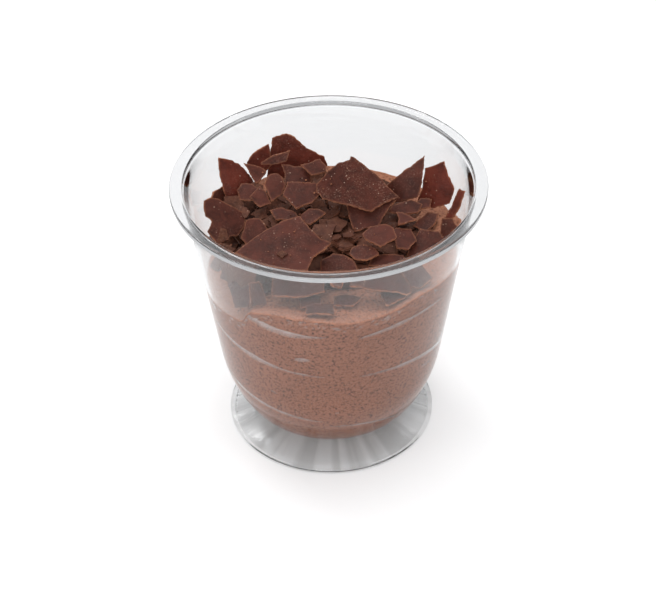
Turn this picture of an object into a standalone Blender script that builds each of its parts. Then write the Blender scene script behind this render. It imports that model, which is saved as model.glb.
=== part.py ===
"""Chocolate mousse in a clear footed dessert cup, piled with broken dark chocolate.

The cup stands on z = 0 with its axis on Z, and the mousse fills it to about 18 mm below the rim.
"""

import math
import random
from collections import namedtuple

import bmesh
import bpy
from mathutils import Matrix, Vector
from mathutils.bvhtree import BVHTree

MM = 0.001

# Cup, in mm
RIM_RADIUS = 40.0
CUP_HEIGHT = 75.0
FLANGE_THICKNESS = 1.4
OPENING_RADIUS = 36.8
WALL = 1.0
WALL_TOP_RADIUS = 36.6
WALL_TOP_Z = 71.5
WALL_FOOT_RADIUS = 29.8
WALL_FOOT_Z = 26.5
WALL_MIDDLE_Z = 49.0
FOOT_RADIUS = 27.8
FOOT_NECK_RADIUS = 18.8
NECK_Z = 4.9
CUP_SIDES = 56

# The (radius, z) points of the bowl's outer side, from under its middle up to the straight wall
BOWL_CURVE = (
    (0, 3.0), (9, 3.1), (14, 3.6), (18.2, 4.5), (21.4, 6.2),
    (24.1, 9.4), (26.25, 13.5), (28.05, 18), (29.2, 22.5),
)
# The heights at which the bowl's inner side turns in to its floor
INNER_STEPS = (22.5, 18.0, 13.5, 9.6, 6.8, 5.2)
BOWL_FLOOR = ((9.0, 4.1), (0.0, 4.0))
FOOT_TOP = ((20.5, 3.9), (23.2, 2.7), (25.7, 1.7), (27.3, 1.3))
FOOT_EDGE = ((FOOT_RADIUS, 0.9), (FOOT_RADIUS, 0.2), (27.5, 0.0), (26.1, 0.0))
FOOT_UNDERSIDE = ((25.7, 0.5), (22.8, 1.5), (20.0, 2.7), (17.0, 3.2), (9.0, 2.6), (0.0, 2.5))

# Mousse: the height of its edge against the wall at each bearing in degrees, 0 being +X and 90
# being +Y. It is low on the left, where the last turn of the piping ends in a step.
CLEARANCE = 0.3
LIP_Z = 56.6
LIP = (
    (-180, 48.6), (-163, 48.4), (-145, 49.2), (-132, 50.4), (-126, 55.6), (-116, 57.4), (-100, 57.8),
    (-80, 56.4), (-64, 57.6), (-50, 59.6), (-30, 58.2), (-15, 57.0), (3, 61.0), (20, 57.2), (50, 56.8),
    (90, 56.8), (130, 56.4), (155, 52.5), (180, 48.6),
)
# The furrows between the piped turns: the height, how far it rises and falls around the cup, the depth
FURROWS = ((51.5, 0.4, 1.2), (37.0, -0.8, 1.0), (18.5, -2.6, 1.2))
FURROW_HALF_WIDTH = 1.5
# How suddenly the top falls, or rises, towards its edge
FALL = 3.5
RISE = 6
MOUSSE_FLOOR_Z = 5.4
EDGE_ROUNDING = 1.2
EDGE_SHARE = 0.96
MOUSSE_SIDES = 48
SIDE_ROWS = 17
TOP_ROWS = 5

# Chocolate
FLAKE_THICKNESS = 0.8
BREAK_STEP = 4.0
BREAK_DEPTH = 0.35
# The whole pile sits a little lower than its flakes are given, and slopes down to the front
PILE_DROP = 0.5
PILE_SLOPE = 0.016
SETTLE_STEP = 0.2
SETTLE_TRIES = 60
HEAP_REACH = 27.0
HEAP_SWELL = 4.4
HEAP_SIDES = 40
HEAP_ROWS = 8
HEAP_UNDER_FLAKES = 0.7
HEAP_THINNEST = 0.35
# Where the heap feels for the flakes above each of its points
FEELERS = ((0, 0), (2, 0), (-2, 0), (0, 2), (0, -2), (1.4, 1.4), (-1.4, 1.4), (1.4, -1.4), (-1.4, -1.4))
# A spun part is told apart by how far from this radius its points stand before they are placed
SPIN_RADIUS = 10

# One broken flake of chocolate. "at" is its centre; it lies flat at lean 0 and stands up at lean 90,
# with its upper face turned towards the compass bearing "facing" (0 = +X, 90 = +Y). "bend" is how far
# its middle stands above its side edges. Its corners are given across and up the slope, in whole mm.
Flake = namedtuple("Flake", "name at facing lean bend corners")

# They settle in this order, each above those before it that it would cut into.
FLAKES = (
    Flake("shard_low_dark", (-5, -26.5, 58.9), 265, 6, 0, ((-3, 1), (-1, 3), (3, 2), (3, -1), (-2, -2))),
    Flake("shard_low_square", (-3, -31.3, 58.4), 268, 3, 0, ((-3, -2), (-3, 1), (-1, 2), (4, 2), (4, -2))),
    Flake("shard_low_wedge", (3.8, -25.7, 59), 265, 6, 0, ((-3, -2), (-3, 1), (0, 2), (4, 1), (2, -2))),
    Flake("shard_low_side", (14.7, -26.8, 59), 260, 6, 0.2, ((-3, 1), (1, 3), (4, 1), (0, -3), (-1, -3))),
    Flake("shard_low_slab", (-8, -23.2, 60), 265, 9, 0.2,
          ((-7, 3), (-6, -3), (2, -3), (7, -1), (6, 3), (0, 5))),
    Flake("shard_low_plate", (13.3, -24.8, 60.2), 262, 9, 0.4,
          ((-8, -2), (-6, 3), (3, 5), (7, 0), (7, -2), (6, -3))),
    Flake("shard_low_point", (2, -23.5, 61.2), 262, 10, 0, ((-4, 0), (-1, 3), (3, 2), (1, -2), (-1, -2))),
    Flake("shard_low_right", (21, -21, 60.6), 250, 18, 0.3, ((-4, 1), (0, 4), (4, 1), (2, -3), (-1, -3))),
    Flake("shard_left_low", (-22.8, -18.8, 55.2), 222, 64, 0.4,
          ((-6, 5), (-3, 2), (-1, 4), (5, 2), (6, -4), (2, -6), (-3, -2))),
    Flake("shard_left_prop", (-17.8, -23.4, 58), 285, 58, 0, ((-2, 3), (1, 3), (2, -3), (-2, -3))),
    Flake("shard_back_tall", (-9.8, 28, 63.8), 275, 70, 0.6,
          ((-7, -6), (-6, 0), (-5, 5), (-1, 6), (1, 5), (4, 2), (7, 0), (9, -1), (10, -4), (7, -4),
           (2, -6))),
    Flake("shard_back_left", (-18.3, 26, 64), 285, 64, 0.3,
          ((3, 4), (3, -2), (0, -4), (-3, -3), (-4, 0), (-2, 2))),
    Flake("shard_left_sliver", (-28.5, 13, 61.5), 320, 58, 0.2,
          ((3, 2), (-1, 2), (-4, 0), (-1, -2), (2, -2))),
    Flake("shard_left_tall", (-24.6, 16.5, 65.2), 300, 61, 0.8,
          ((-3, 6), (-1, 5), (2, 3), (4, 0), (5, -3), (0, -6), (-4, -5), (-4, 0))),
    Flake("shard_right_red", (29, 10.5, 66), 250, 66, 0.8,
          ((-4, 4), (1, 7), (5, 0), (4, -4), (0, -6), (-5, -6), (-4, -1))),
    Flake("shard_right_strip", (33.6, 0.5, 66.3), 225, 60, 0.2,
          ((-1, 5), (1, 5), (1, -2), (0, -5), (-2, -4))),
    Flake("shard_right_flat", (25.5, 2.5, 60.8), 255, 18, 0.2,
          ((-4, -2), (-1, 3), (2, 3), (2, 0), (0, -4))),
    Flake("shard_right_wall", (31, -1.8, 60.6), 240, 55, 0.2, ((-2, 2), (1, 3), (3, 1), (1, -3), (-1, -3))),
    Flake("shard_right_thin", (24.5, 6.5, 61.8), 262, 24, 0.2, ((-4, -2), (-1, 2), (2, 2), (2, -1))),
    Flake("shard_right_ragged", (20, 4, 62.6), 262, 26, 0.3,
          ((-5, -1), (-4, 1), (1, 3), (4, 2), (3, -1), (-2, -2))),
    Flake("shard_back_slope", (-8.5, 17, 66), 270, 28, 0.5,
          ((-4, 3), (0, 2), (2, 2), (4, 0), (4, -3), (2, -4), (-3, -3))),
    Flake("shard_back_ridge", (-3.3, 18, 66), 265, 30, 0.3,
          ((-4, 0), (-1, 1), (1, 2), (3, 0), (3, -2), (-1, -3))),
    Flake("shard_back_low", (9, 19, 62), 262, 40, 0.2, ((-3, -2), (0, 2), (3, -1), (2, -3))),
    Flake("shard_upper_left", (-18.5, 19, 64), 250, 40, 0.4,
          ((-4, 1), (-2, 1), (1, 1), (3, 0), (2, -3), (1, -4), (-1, -2))),
    Flake("shard_left_middle", (-21, 12.5, 64), 265, 30, 0.3,
          ((-2, 2), (1, 2), (3, 1), (2, -3), (-2, -3), (-3, 0))),
    Flake("shard_front_low", (14.5, -13, 60.6), 265, 16, 0.2,
          ((-5, -2), (-4, 1), (-1, 2), (4, 2), (5, 0), (0, -2))),
    Flake("shard_right_front", (24, -7, 61), 255, 28, 0.4,
          ((-2, 4), (3, 4), (5, 2), (2, -3), (-2, -5), (-4, -4), (-4, -2))),
    Flake("shard_front_side", (18.3, -6.5, 61.7), 260, 24, 0.3,
          ((-3, 2), (-2, 3), (2, 3), (4, 0), (2, -3), (-1, -3))),
    Flake("shard_small_wedge", (18.5, -2.5, 63.8), 262, 26, 0,
          ((-2, 2), (0, 2), (4, 0), (-1, -2), (-1, 0))),
    Flake("shard_front_end", (2.5, -15, 61), 265, 22, 0.4,
          ((-5, 1), (-2, 3), (1, 3), (4, 1), (5, -2), (0, -2), (-5, -3))),
    Flake("shard_front_wide", (8.5, -12.5, 62.2), 265, 18, 0.4,
          ((-4, 0), (-3, 2), (0, 3), (3, 2), (4, 0), (1, -2), (-2, -2))),
    Flake("shard_front_centre", (13, -9, 63.2), 265, 23, 0.4,
          ((-5, 1), (-3, 3), (1, 4), (3, 3), (4, 0), (0, -3), (-4, -1))),
    Flake("shard_front_under", (-19, -2, 62.5), 255, 34, 0.3,
          ((-3, 2), (-1, 3), (1, 3), (4, 0), (4, -3), (-1, -5), (-3, -3))),
    Flake("shard_left_front", (-27.3, 2, 63), 300, 42, 0.9,
          ((-3, 6), (-1, 6), (1, 5), (5, 1), (7, -1), (5, -4), (2, -6), (-1, -5), (-4, -6), (-5, -2),
           (-3, 0), (-4, 2))),
    Flake("shard_left_wedge", (-17.8, 8, 65.2), 270, 34, 0.2, ((-3, 0), (0, 3), (2, 1), (3, -2), (0, -3))),
    Flake("shard_rounded", (-13.9, 10.5, 67.3), 270, 32, 0.6,
          ((-2, 2), (-1, 3), (1, 3), (2, 2), (3, 0), (2, -3), (-1, -5), (-2, -2), (-3, 0))),
    Flake("shard_back_bar", (-13.7, 20.8, 66.9), 270, 62, 0,
          ((-4, -2), (-4, -1), (0, 1), (4, 2), (3, -1), (-1, -2))),
    Flake("shard_inner_flat", (-11.5, 2.5, 63.8), 262, 22, 0.2,
          ((-4, 1), (-1, 2), (3, 1), (4, -1), (1, -2), (-2, -2))),
    Flake("shard_centre_left", (-4.5, 1.5, 64), 262, 24, 0.3,
          ((-3, 0), (-1, 2), (2, 2), (4, 1), (0, -3), (-3, -2))),
    Flake("shard_middle", (-7, 7, 67.2), 265, 26, 0.5,
          ((-4, 3), (0, 3), (4, 3), (5, 0), (3, -3), (-1, -5), (-5, -1))),
    Flake("shard_under_centre", (10, 1, 65.2), 262, 34, 0.8,
          ((-6, 2), (-5, -2), (-3, -6), (3, -4), (5, 1), (7, 4), (0, 5))),
    Flake("shard_right_point", (20.5, 12, 65.5), 260, 60, 0.7,
          ((4, 7), (4, 0), (3, -4), (-3, -6), (-6, -4), (-6, -2), (-2, 2))),
    Flake("shard_front_flat", (-9.5, -14, 66.3), 262, 20, 1.0,
          ((-14, -3), (-7, 4), (-3, 7), (1, 9), (7, 3), (10, 2), (6, -3), (5, -7), (-1, -8), (-8, -6))),
    Flake("shard_centre_top", (5.7, 6.5, 67.8), 262, 31, 1.6,
          ((-9, -2), (-7, -4), (-4, -5), (1, -6), (6, -7), (11, -3), (13, -2), (9, 1), (4, 5), (0, 8),
           (-1, 8), (-1, 7), (-4, 6), (-7, 3), (-9, 0))),
)


def between(value, low, high):
    """The value, kept between these two."""
    return min(max(value, low), high)


def lerp(a, b, share):
    """The value this share of the way from a to b."""
    return a + (b - a) * share


def along(points, place):
    """The second number of the (first, second) points, read off at this first number."""
    for (x0, y0), (x1, y1) in zip(points, points[1:]):
        if x0 <= place <= x1:
            return lerp(y0, y1, (place - x0) / (x1 - x0))
    return 0.0


def finish(bm, name, colour, roughness, alpha=1.0):
    """Make the mesh, which is in mm, an object of this name with its own material."""
    bmesh.ops.recalc_face_normals(bm, faces=bm.faces[:])
    bmesh.ops.scale(bm, vec=Vector((MM, MM, MM)), verts=bm.verts[:])
    mesh = bpy.data.meshes.new(name)
    bm.to_mesh(mesh)
    bm.free()
    mesh.shade_smooth()
    mesh.set_sharp_from_angle(angle=math.radians(35))
    obj = bpy.data.objects.new(name, mesh)
    bpy.context.scene.collection.objects.link(obj)
    material = bpy.data.materials.new(name)
    material.use_nodes = True
    shader = material.node_tree.nodes["Principled BSDF"]
    shader.inputs["Base Color"].default_value = (*colour, 1.0)
    shader.inputs["Roughness"].default_value = roughness
    shader.inputs["Metallic"].default_value = 0.0
    shader.inputs["Alpha"].default_value = alpha
    mesh.materials.append(material)
    return obj


def spun(points, sides, closed):
    """A bmesh of the (radius, z) points, as a line or a closed outline, turned about Z."""
    bm = bmesh.new()
    verts = [bm.verts.new((r, 0, z)) for r, z in points]
    following = verts[1:] + verts[:1] if closed else verts[1:]
    edges = [bm.edges.new(pair) for pair in zip(verts, following)]
    bmesh.ops.spin(
        bm, geom=verts + edges, cent=(0, 0, 0), axis=(0, 0, 1),
        angle=math.tau, steps=sides, use_merge=True,
    )
    return bm


# ---------------------------------------------------------------- cup


def wall_radius(z):
    """The outer radius of the straight wall at this height."""
    share = (z - WALL_FOOT_Z) / (WALL_TOP_Z - WALL_FOOT_Z)
    return lerp(WALL_FOOT_RADIUS, WALL_TOP_RADIUS, share)


def inner_curve():
    """The (z, radius) points of the bowl's inner side below the straight wall."""
    points = []
    for radius, z in BOWL_CURVE:
        share = radius / WALL_FOOT_RADIUS
        points.append((z + WALL * (1 - share ** 3), max(radius - WALL * (0.2 + 0.8 * share), 0)))
    points.append((WALL_FOOT_Z, WALL_FOOT_RADIUS - WALL))
    return points


INNER_CURVE = inner_curve()


def bowl_radius(z):
    """The inner radius of the bowl at this height above its floor."""
    if z >= WALL_FOOT_Z:
        return wall_radius(z) - WALL
    return along(INNER_CURVE, z)


def make_cup():
    """The foot, the bowl, the wall and the flange, as one moulding."""
    outer = [(r, z) for r, z in BOWL_CURVE if r > FOOT_NECK_RADIUS]
    wall = [(wall_radius(z), z) for z in (WALL_FOOT_Z, WALL_MIDDLE_Z, WALL_TOP_Z)]
    flange_z = CUP_HEIGHT - FLANGE_THICKNESS
    flange = [
        (WALL_TOP_RADIUS + 0.3, flange_z - 0.3), (WALL_TOP_RADIUS + 0.8, flange_z),
        (RIM_RADIUS - 0.2, flange_z), (RIM_RADIUS, flange_z + 0.2),
        (RIM_RADIUS, CUP_HEIGHT - 0.2), (RIM_RADIUS - 0.2, CUP_HEIGHT),
        (OPENING_RADIUS + 0.2, CUP_HEIGHT), (OPENING_RADIUS - 0.1, CUP_HEIGHT - 0.4),
    ]
    inside = [(wall_radius(z) - WALL, z) for z in (WALL_TOP_Z, WALL_MIDDLE_Z, WALL_FOOT_Z)]
    low = [(bowl_radius(z), z) for z in INNER_STEPS]
    profile = (
        [(FOOT_NECK_RADIUS, NECK_Z)] + outer + wall + flange + inside + low
        + list(BOWL_FLOOR + FOOT_UNDERSIDE[::-1] + FOOT_EDGE[::-1] + FOOT_TOP[::-1])
    )
    bm = spun(profile, CUP_SIDES, closed=True)
    bmesh.ops.remove_doubles(bm, verts=bm.verts[:], dist=0.001)
    return finish(bm, "cup", (0.93, 0.94, 0.95), 0.06, 0.25)


# ---------------------------------------------------------------- mousse


def lip_height(angle):
    """The mousse's height against the wall."""
    return along(LIP, math.degrees(angle))


def furrow(angle, z):
    """How far the mousse stands off the wall, deepest along the furrow between two turns."""
    depth = 0.0
    for height, slope, reach in FURROWS:
        middle = height + slope * math.cos(angle) + 0.7 * math.sin(2 * angle)
        uneven = 0.55 + 0.45 * math.sin(2.0 * angle + height)
        depth += reach * uneven * math.exp(-(((z - middle) / FURROW_HALF_WIDTH) ** 2))
    return depth


def mousse_top(x, y):
    """The height of the mousse's uneven top."""
    share = min(math.hypot(x, y) / bowl_radius(LIP_Z), 1)
    swell = 0.5 * math.sin(0.23 * x + 0.8) + 0.4 * math.sin(0.31 * y - 0.5)
    crown = LIP_Z + 0.035 * y + swell
    lip = lip_height(math.atan2(y, x))
    return lerp(crown, lip, share ** (FALL if lip < crown else RISE))


def make_mousse():
    """The mousse, spun as a line of rows whose points are then placed one by one."""
    side = [(1 + row / SIDE_ROWS, 1.0) for row in range(SIDE_ROWS + 1)]
    top = [(3.0, 1 - (row + 1) / (TOP_ROWS + 1)) for row in range(TOP_ROWS)]
    steps = [(0.0, 0.0)] + side + [(2.5, EDGE_SHARE)] + top + [(4.0, 0.0)]
    bm = spun([(SPIN_RADIUS + part, share) for part, share in steps], MOUSSE_SIDES, closed=False)
    for vert in bm.verts:
        angle = math.atan2(vert.co.y, vert.co.x)
        part = math.hypot(vert.co.x, vert.co.y) - SPIN_RADIUS
        share = vert.co.z
        lip = lip_height(angle)
        if part < 0.5:
            vert.co = (0, 0, MOUSSE_FLOOR_Z)
        elif part < 2.2:
            rise = between(part - 1, 0, 1) ** EDGE_ROUNDING
            z = lerp(MOUSSE_FLOOR_Z + 0.4, lip - EDGE_ROUNDING, rise)
            radius = bowl_radius(z) - CLEARANCE - 0.08 - furrow(angle, z)
            vert.co = (radius * math.cos(angle), radius * math.sin(angle), z)
        else:
            radius = (bowl_radius(lip) - CLEARANCE - 0.1) * share
            x, y = radius * math.cos(angle), radius * math.sin(angle)
            vert.co = (x, y, mousse_top(x, y))
    bmesh.ops.remove_doubles(bm, verts=bm.verts[:], dist=0.01)
    return finish(bm, "mousse", (0.30, 0.17, 0.12), 0.65)


# ---------------------------------------------------------------- flakes


def broken_outline(corners, rng):
    """The corners, with ragged points along each long side, as chocolate breaks."""
    points = []
    for (x0, y0), (x1, y1) in zip(corners, corners[1:] + corners[:1]):
        points.append((x0, y0))
        length = math.hypot(x1 - x0, y1 - y0)
        parts = round(length / BREAK_STEP)
        for part in range(1, parts):
            share = part / parts + rng.uniform(-0.08, 0.08)
            off = rng.uniform(-BREAK_DEPTH, BREAK_DEPTH)
            x = lerp(x0, x1, share) - off * (y1 - y0) / length
            y = lerp(y0, y1, share) + off * (x1 - x0) / length
            points.append((x, y))
    return points


def flake_mesh(flake, thickness):
    """The flake as a bmesh about its own centre, with Z as its thickness."""
    rng = random.Random(flake.name)
    bm = bmesh.new()
    outline = broken_outline(flake.corners, rng)
    bm.faces.new([bm.verts.new((x, y, 0)) for x, y in outline])
    low = min(x for x, _ in outline)
    high = max(x for x, _ in outline)
    if flake.bend:
        for share in (0.25, 0.5, 0.75):
            bmesh.ops.bisect_plane(
                bm, geom=bm.verts[:] + bm.edges[:] + bm.faces[:], dist=0.001,
                plane_co=(lerp(low, high, share), 0, 0), plane_no=(1, 0, 0),
            )
    half = (high - low) / 2
    for vert in bm.verts:
        across = (vert.co.x - (low + high) / 2) / half
        vert.co.z = flake.bend * (0.5 - across * across)
    bmesh.ops.triangulate(bm, faces=bm.faces[:])
    bmesh.ops.recalc_face_normals(bm, faces=bm.faces[:])
    if sum(face.normal.z for face in bm.faces) < 0:
        bmesh.ops.reverse_faces(bm, faces=bm.faces[:])
    bmesh.ops.solidify(bm, geom=bm.faces[:], thickness=thickness)
    bmesh.ops.recalc_face_normals(bm, faces=bm.faces[:])
    return bm


def placement(flake, at):
    """The matrix that leans the flake and puts its centre at this point."""
    turn = Matrix.Rotation(math.radians(flake.facing + 90), 4, "Z")
    lean = Matrix.Rotation(math.radians(flake.lean), 4, "X")
    return Matrix.Translation(at) @ turn @ lean


def past_wall(points):
    """How far the furthest point is past the wall's inner side, in mm (negative when all are clear)."""
    return max(math.hypot(p.x, p.y) - (bowl_radius(min(p.z, WALL_TOP_Z)) - CLEARANCE) for p in points)


def settle(flake, placed):
    """Move the flake in from the wall, then off what it would cut into, and return its matrix."""
    probe = flake_mesh(flake, FLAKE_THICKNESS + 2 * CLEARANCE)
    corners = [vert.co.copy() for vert in probe.verts]
    polygons = [[vert.index for vert in face.verts] for face in probe.faces]
    probe.free()
    at = Vector(flake.at)
    at.z += PILE_SLOPE * at.y - PILE_DROP
    normal = placement(flake, at).to_3x3() @ Vector((0, 0, 1))
    step = (normal + Vector((0, 0, 0.6))).normalized() * SETTLE_STEP
    for _ in range(SETTLE_TRIES):
        matrix = placement(flake, at)
        points = [matrix @ corner for corner in corners]
        past = past_wall(points)
        if past > 0:
            at -= Vector((at.x, at.y, 0)).normalized() * min(past + 0.05, 0.5)
            continue
        shape = BVHTree.FromPolygons(points, polygons)
        blocked = any(shape.overlap(other) for other in placed)
        sunk = any(p.z < mousse_top(p.x, p.y) + CLEARANCE / 2 for p in points)
        if not blocked and not sunk:
            break
        at += step
    placed.append(shape)
    return matrix


def make_flakes():
    """Make every large flake, and return a BVH tree of each."""
    placed = []
    trees = []
    for flake in FLAKES:
        matrix = settle(flake, placed)
        bm = flake_mesh(flake, FLAKE_THICKNESS)
        bmesh.ops.translate(bm, vec=(0, 0, -CLEARANCE), verts=bm.verts[:])
        bmesh.ops.transform(bm, matrix=matrix, verts=bm.verts[:])
        trees.append(BVHTree.FromBMesh(bm))
        finish(bm, flake.name, (0.075, 0.030, 0.022), 0.38)
    return trees


# ---------------------------------------------------------------- heap


def heap_height(x, y, flakes):
    """The top of the heap of small flakes, kept under every large flake near this point."""
    swell = 0.7 * math.sin(0.5 * x + 1) * math.cos(0.45 * y)
    crown = HEAP_SWELL * (1 - (math.hypot(x, y) / HEAP_REACH) ** 2)
    top = mousse_top(x, y) + crown + swell
    for dx, dy in FEELERS:
        start = Vector((x + dx, y + dy, 50))
        for flake in flakes:
            hit = flake.ray_cast(start, Vector((0, 0, 1)), 30)[0]
            if hit:
                top = min(top, hit.z - HEAP_UNDER_FLAKES)
    return top


def make_heap(flakes):
    """The heap of small flakes as one solid, out to its uneven outline."""
    shares = [row / HEAP_ROWS for row in range(HEAP_ROWS + 1)]
    steps = [(share, 1.0) for share in shares] + [(share, 0.0) for share in reversed(shares)]
    bm = spun([(SPIN_RADIUS + share, level) for share, level in steps], HEAP_SIDES, closed=False)
    for vert in bm.verts:
        angle = math.atan2(vert.co.y, vert.co.x)
        share = math.hypot(vert.co.x, vert.co.y) - SPIN_RADIUS
        reach = HEAP_REACH * (1 + 0.05 * math.sin(3 * angle) + 0.04 * math.sin(7 * angle + 1))
        reach *= 0.86 + 0.14 * math.sin(angle / 2) ** 2
        x, y = share * reach * math.cos(angle), share * reach * math.sin(angle)
        floor = mousse_top(x, y) + CLEARANCE + 0.15
        upper = max(heap_height(x, y, flakes), floor + HEAP_THINNEST)
        vert.co = (x, y, upper if vert.co.z > 0.5 else floor)
    bmesh.ops.remove_doubles(bm, verts=bm.verts[:], dist=0.01)
    return finish(bm, "flake_heap", (0.07, 0.028, 0.020), 0.45)


def main():
    for obj in list(bpy.data.objects):
        bpy.data.objects.remove(obj, do_unlink=True)
    make_cup()
    make_mousse()
    make_heap(make_flakes())


main()
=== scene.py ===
import math
import random

import bmesh
import bpy
import numpy as np
from bpy.props import FloatProperty, FloatVectorProperty, IntProperty, PointerProperty
from mathutils import Matrix, Vector, noise
from mathutils.bvhtree import BVHTree
from mathutils.kdtree import KDTree


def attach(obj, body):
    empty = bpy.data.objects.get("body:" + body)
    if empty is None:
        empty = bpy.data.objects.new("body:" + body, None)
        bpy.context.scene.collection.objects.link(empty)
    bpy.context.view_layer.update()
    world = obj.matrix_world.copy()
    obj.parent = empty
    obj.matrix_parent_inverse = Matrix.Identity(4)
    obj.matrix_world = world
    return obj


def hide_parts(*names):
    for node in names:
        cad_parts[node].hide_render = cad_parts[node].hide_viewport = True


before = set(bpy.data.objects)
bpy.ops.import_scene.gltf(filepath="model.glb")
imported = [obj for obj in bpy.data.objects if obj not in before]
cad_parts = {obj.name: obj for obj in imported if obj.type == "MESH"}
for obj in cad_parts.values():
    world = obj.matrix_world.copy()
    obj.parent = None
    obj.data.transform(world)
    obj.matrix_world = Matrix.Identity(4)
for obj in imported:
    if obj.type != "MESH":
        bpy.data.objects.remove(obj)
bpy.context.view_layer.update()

bl_info = {
    "name": "Chocolate mousse dessert cup",
    "version": (1, 0, 0),
    "blender": (4, 5, 0),
    "location": "3D View > Sidebar > Dessert",
    "description": "Clear footed cup of chocolate mousse under broken dark chocolate",
    "category": "Object",
}

MM = 0.001

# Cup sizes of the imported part, in mm
WALL = 1.0
WALL_TOP_RADIUS = 36.6
WALL_TOP_Z = 71.5
WALL_FOOT_RADIUS = 29.8
WALL_FOOT_Z = 26.5
BOWL_CURVE = (
    (0, 3.0), (9, 3.1), (14, 3.6), (18.2, 4.5), (21.4, 6.2),
    (24.1, 9.4), (26.25, 13.5), (28.05, 18), (29.2, 22.5),
)

# Mousse: the height of its edge against the wall at each bearing in degrees, 0 being +X and 90
# being +Y. It is low on the left, where the last turn of the piping ends in a step.
MOUSSE_FLOOR_Z = 5.0
LIP_Z = 56.6
LIP = (
    (-180, 48.6), (-163, 48.4), (-145, 49.2), (-132, 50.4), (-126, 55.6), (-116, 57.4), (-100, 57.8),
    (-80, 56.4), (-64, 57.6), (-50, 59.6), (-30, 58.2), (-15, 57.0), (3, 61.0), (20, 57.2), (50, 56.8),
    (90, 56.8), (130, 56.4), (155, 52.5), (180, 48.6),
)
# How suddenly the top falls, or rises, towards its edge
FALL = 3.5
RISE = 6

# The flakes that stand up thin against the light, painted redder as painted light shining through
# them, and the crumbly one on top
BACKLIT_FLAKES = (
    "shard_back_tall", "shard_left_tall", "shard_right_red", "shard_right_strip", "shard_back_left",
)
ROUGH_FLAKES = ("shard_centre_top",)

# How far above the floor, in mm, the rays start that find the top of the pile
ABOVE_ALL = 90
DOWN = Vector((0, 0, -1))
UP = Vector((0, 0, 1))


def lerp(a, b, share):
    """The value at this share of the way from a to b."""
    return a + (b - a) * share


def clamp(value, low=0.0, high=1.0):
    """The value, kept between low and high."""
    return min(max(value, low), high)


def smooth(value):
    """Ease from 0 to 1."""
    value = clamp(value)
    return value * value * (3 - 2 * value)


# ---------------------------------------------------------------- shapes shared with the part


def wall_radius(z):
    """The outer radius of the straight wall at this height."""
    share = (z - WALL_FOOT_Z) / (WALL_TOP_Z - WALL_FOOT_Z)
    return lerp(WALL_FOOT_RADIUS, WALL_TOP_RADIUS, share)


def inner_curve():
    """The (radius, z) points of the bowl's inner side below the straight wall."""
    points = []
    for radius, z in BOWL_CURVE:
        share = radius / WALL_FOOT_RADIUS
        points.append((max(radius - WALL * (0.2 + 0.8 * share), 0), z + WALL * (1 - share ** 3)))
    points.append((WALL_FOOT_RADIUS - WALL, WALL_FOOT_Z))
    return points


INNER_CURVE = inner_curve()


def bowl_radius(z):
    """The inner radius of the bowl at this height."""
    if z >= WALL_FOOT_Z:
        return wall_radius(z) - WALL
    for (r0, z0), (r1, z1) in zip(INNER_CURVE, INNER_CURVE[1:]):
        if z0 <= z <= z1:
            return lerp(r0, r1, (z - z0) / (z1 - z0))
    return 0.0


def lip_height(angle):
    """The height of the mousse against the wall."""
    degrees = math.degrees(angle)
    for (b0, z0), (b1, z1) in zip(LIP, LIP[1:]):
        if b0 <= degrees <= b1:
            return lerp(z0, z1, (degrees - b0) / (b1 - b0))
    return LIP_Z


def mousse_top(x, y):
    """The height of the mousse's uneven top."""
    share = min(math.hypot(x, y) / bowl_radius(LIP_Z), 1)
    swell = 0.5 * math.sin(0.23 * x + 0.8) + 0.4 * math.sin(0.31 * y - 0.5)
    crown = LIP_Z + 0.035 * y + swell
    lip = lip_height(math.atan2(y, x))
    return lerp(crown, lip, share ** (FALL if lip < crown else RISE))


# ---------------------------------------------------------------- settings


class CupSettings(bpy.types.PropertyGroup):
    """The clear polystyrene cup."""

    tint: FloatVectorProperty(
        name="Tint", description="Colour of the clear polystyrene", subtype="COLOR",
        size=3, min=0, max=1, default=(0.76, 0.763, 0.767),
    )
    clearness: FloatProperty(
        name="Clearness", description="Share of the light that passes without haze",
        min=0, max=1, default=1.0,
    )
    index: FloatProperty(
        name="Refractive index", description="How strongly the plastic bends light",
        min=1, max=2, default=1.5,
    )
    sides: IntProperty(
        name="Sides", description="Flat sides of the turned shape before it is smoothed",
        min=24, max=128, default=72,
    )
    seam: FloatProperty(
        name="Seam width", description="Width of the mould's parting line",
        subtype="DISTANCE", unit="LENGTH", min=0, max=0.002, default=0.00022,
    )


class MousseSettings(bpy.types.PropertyGroup):
    """The piped mousse."""

    colour: FloatVectorProperty(
        name="Colour", description="Main colour of the mousse", subtype="COLOR",
        size=3, min=0, max=1, default=(0.375, 0.150, 0.082),
    )
    pore_colour: FloatVectorProperty(
        name="Pore colour", description="Colour in the small bubbles", subtype="COLOR",
        size=3, min=0, max=1, default=(0.075, 0.026, 0.015),
    )
    gap_reflection_colour: FloatVectorProperty(
        name="Gap colour", description="Pale look of the air gaps between the turns and the wall",
        subtype="COLOR", size=3, min=0, max=1, default=(0.62, 0.50, 0.46),
    )
    lip_highlight_colour: FloatVectorProperty(
        name="Lip colour", description="Colour of the thin upper edge", subtype="COLOR",
        size=3, min=0, max=1, default=(0.40, 0.16, 0.085),
    )
    into_wall: FloatProperty(
        name="Reach into wall",
        description="How far the mousse reaches into the plastic, so that no gap shows",
        subtype="DISTANCE", unit="LENGTH", min=0, max=0.001, default=0.0003,
    )
    sides: IntProperty(
        name="Sides", description="Vertices around the mousse", min=60, max=400, default=330,
    )


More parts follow.
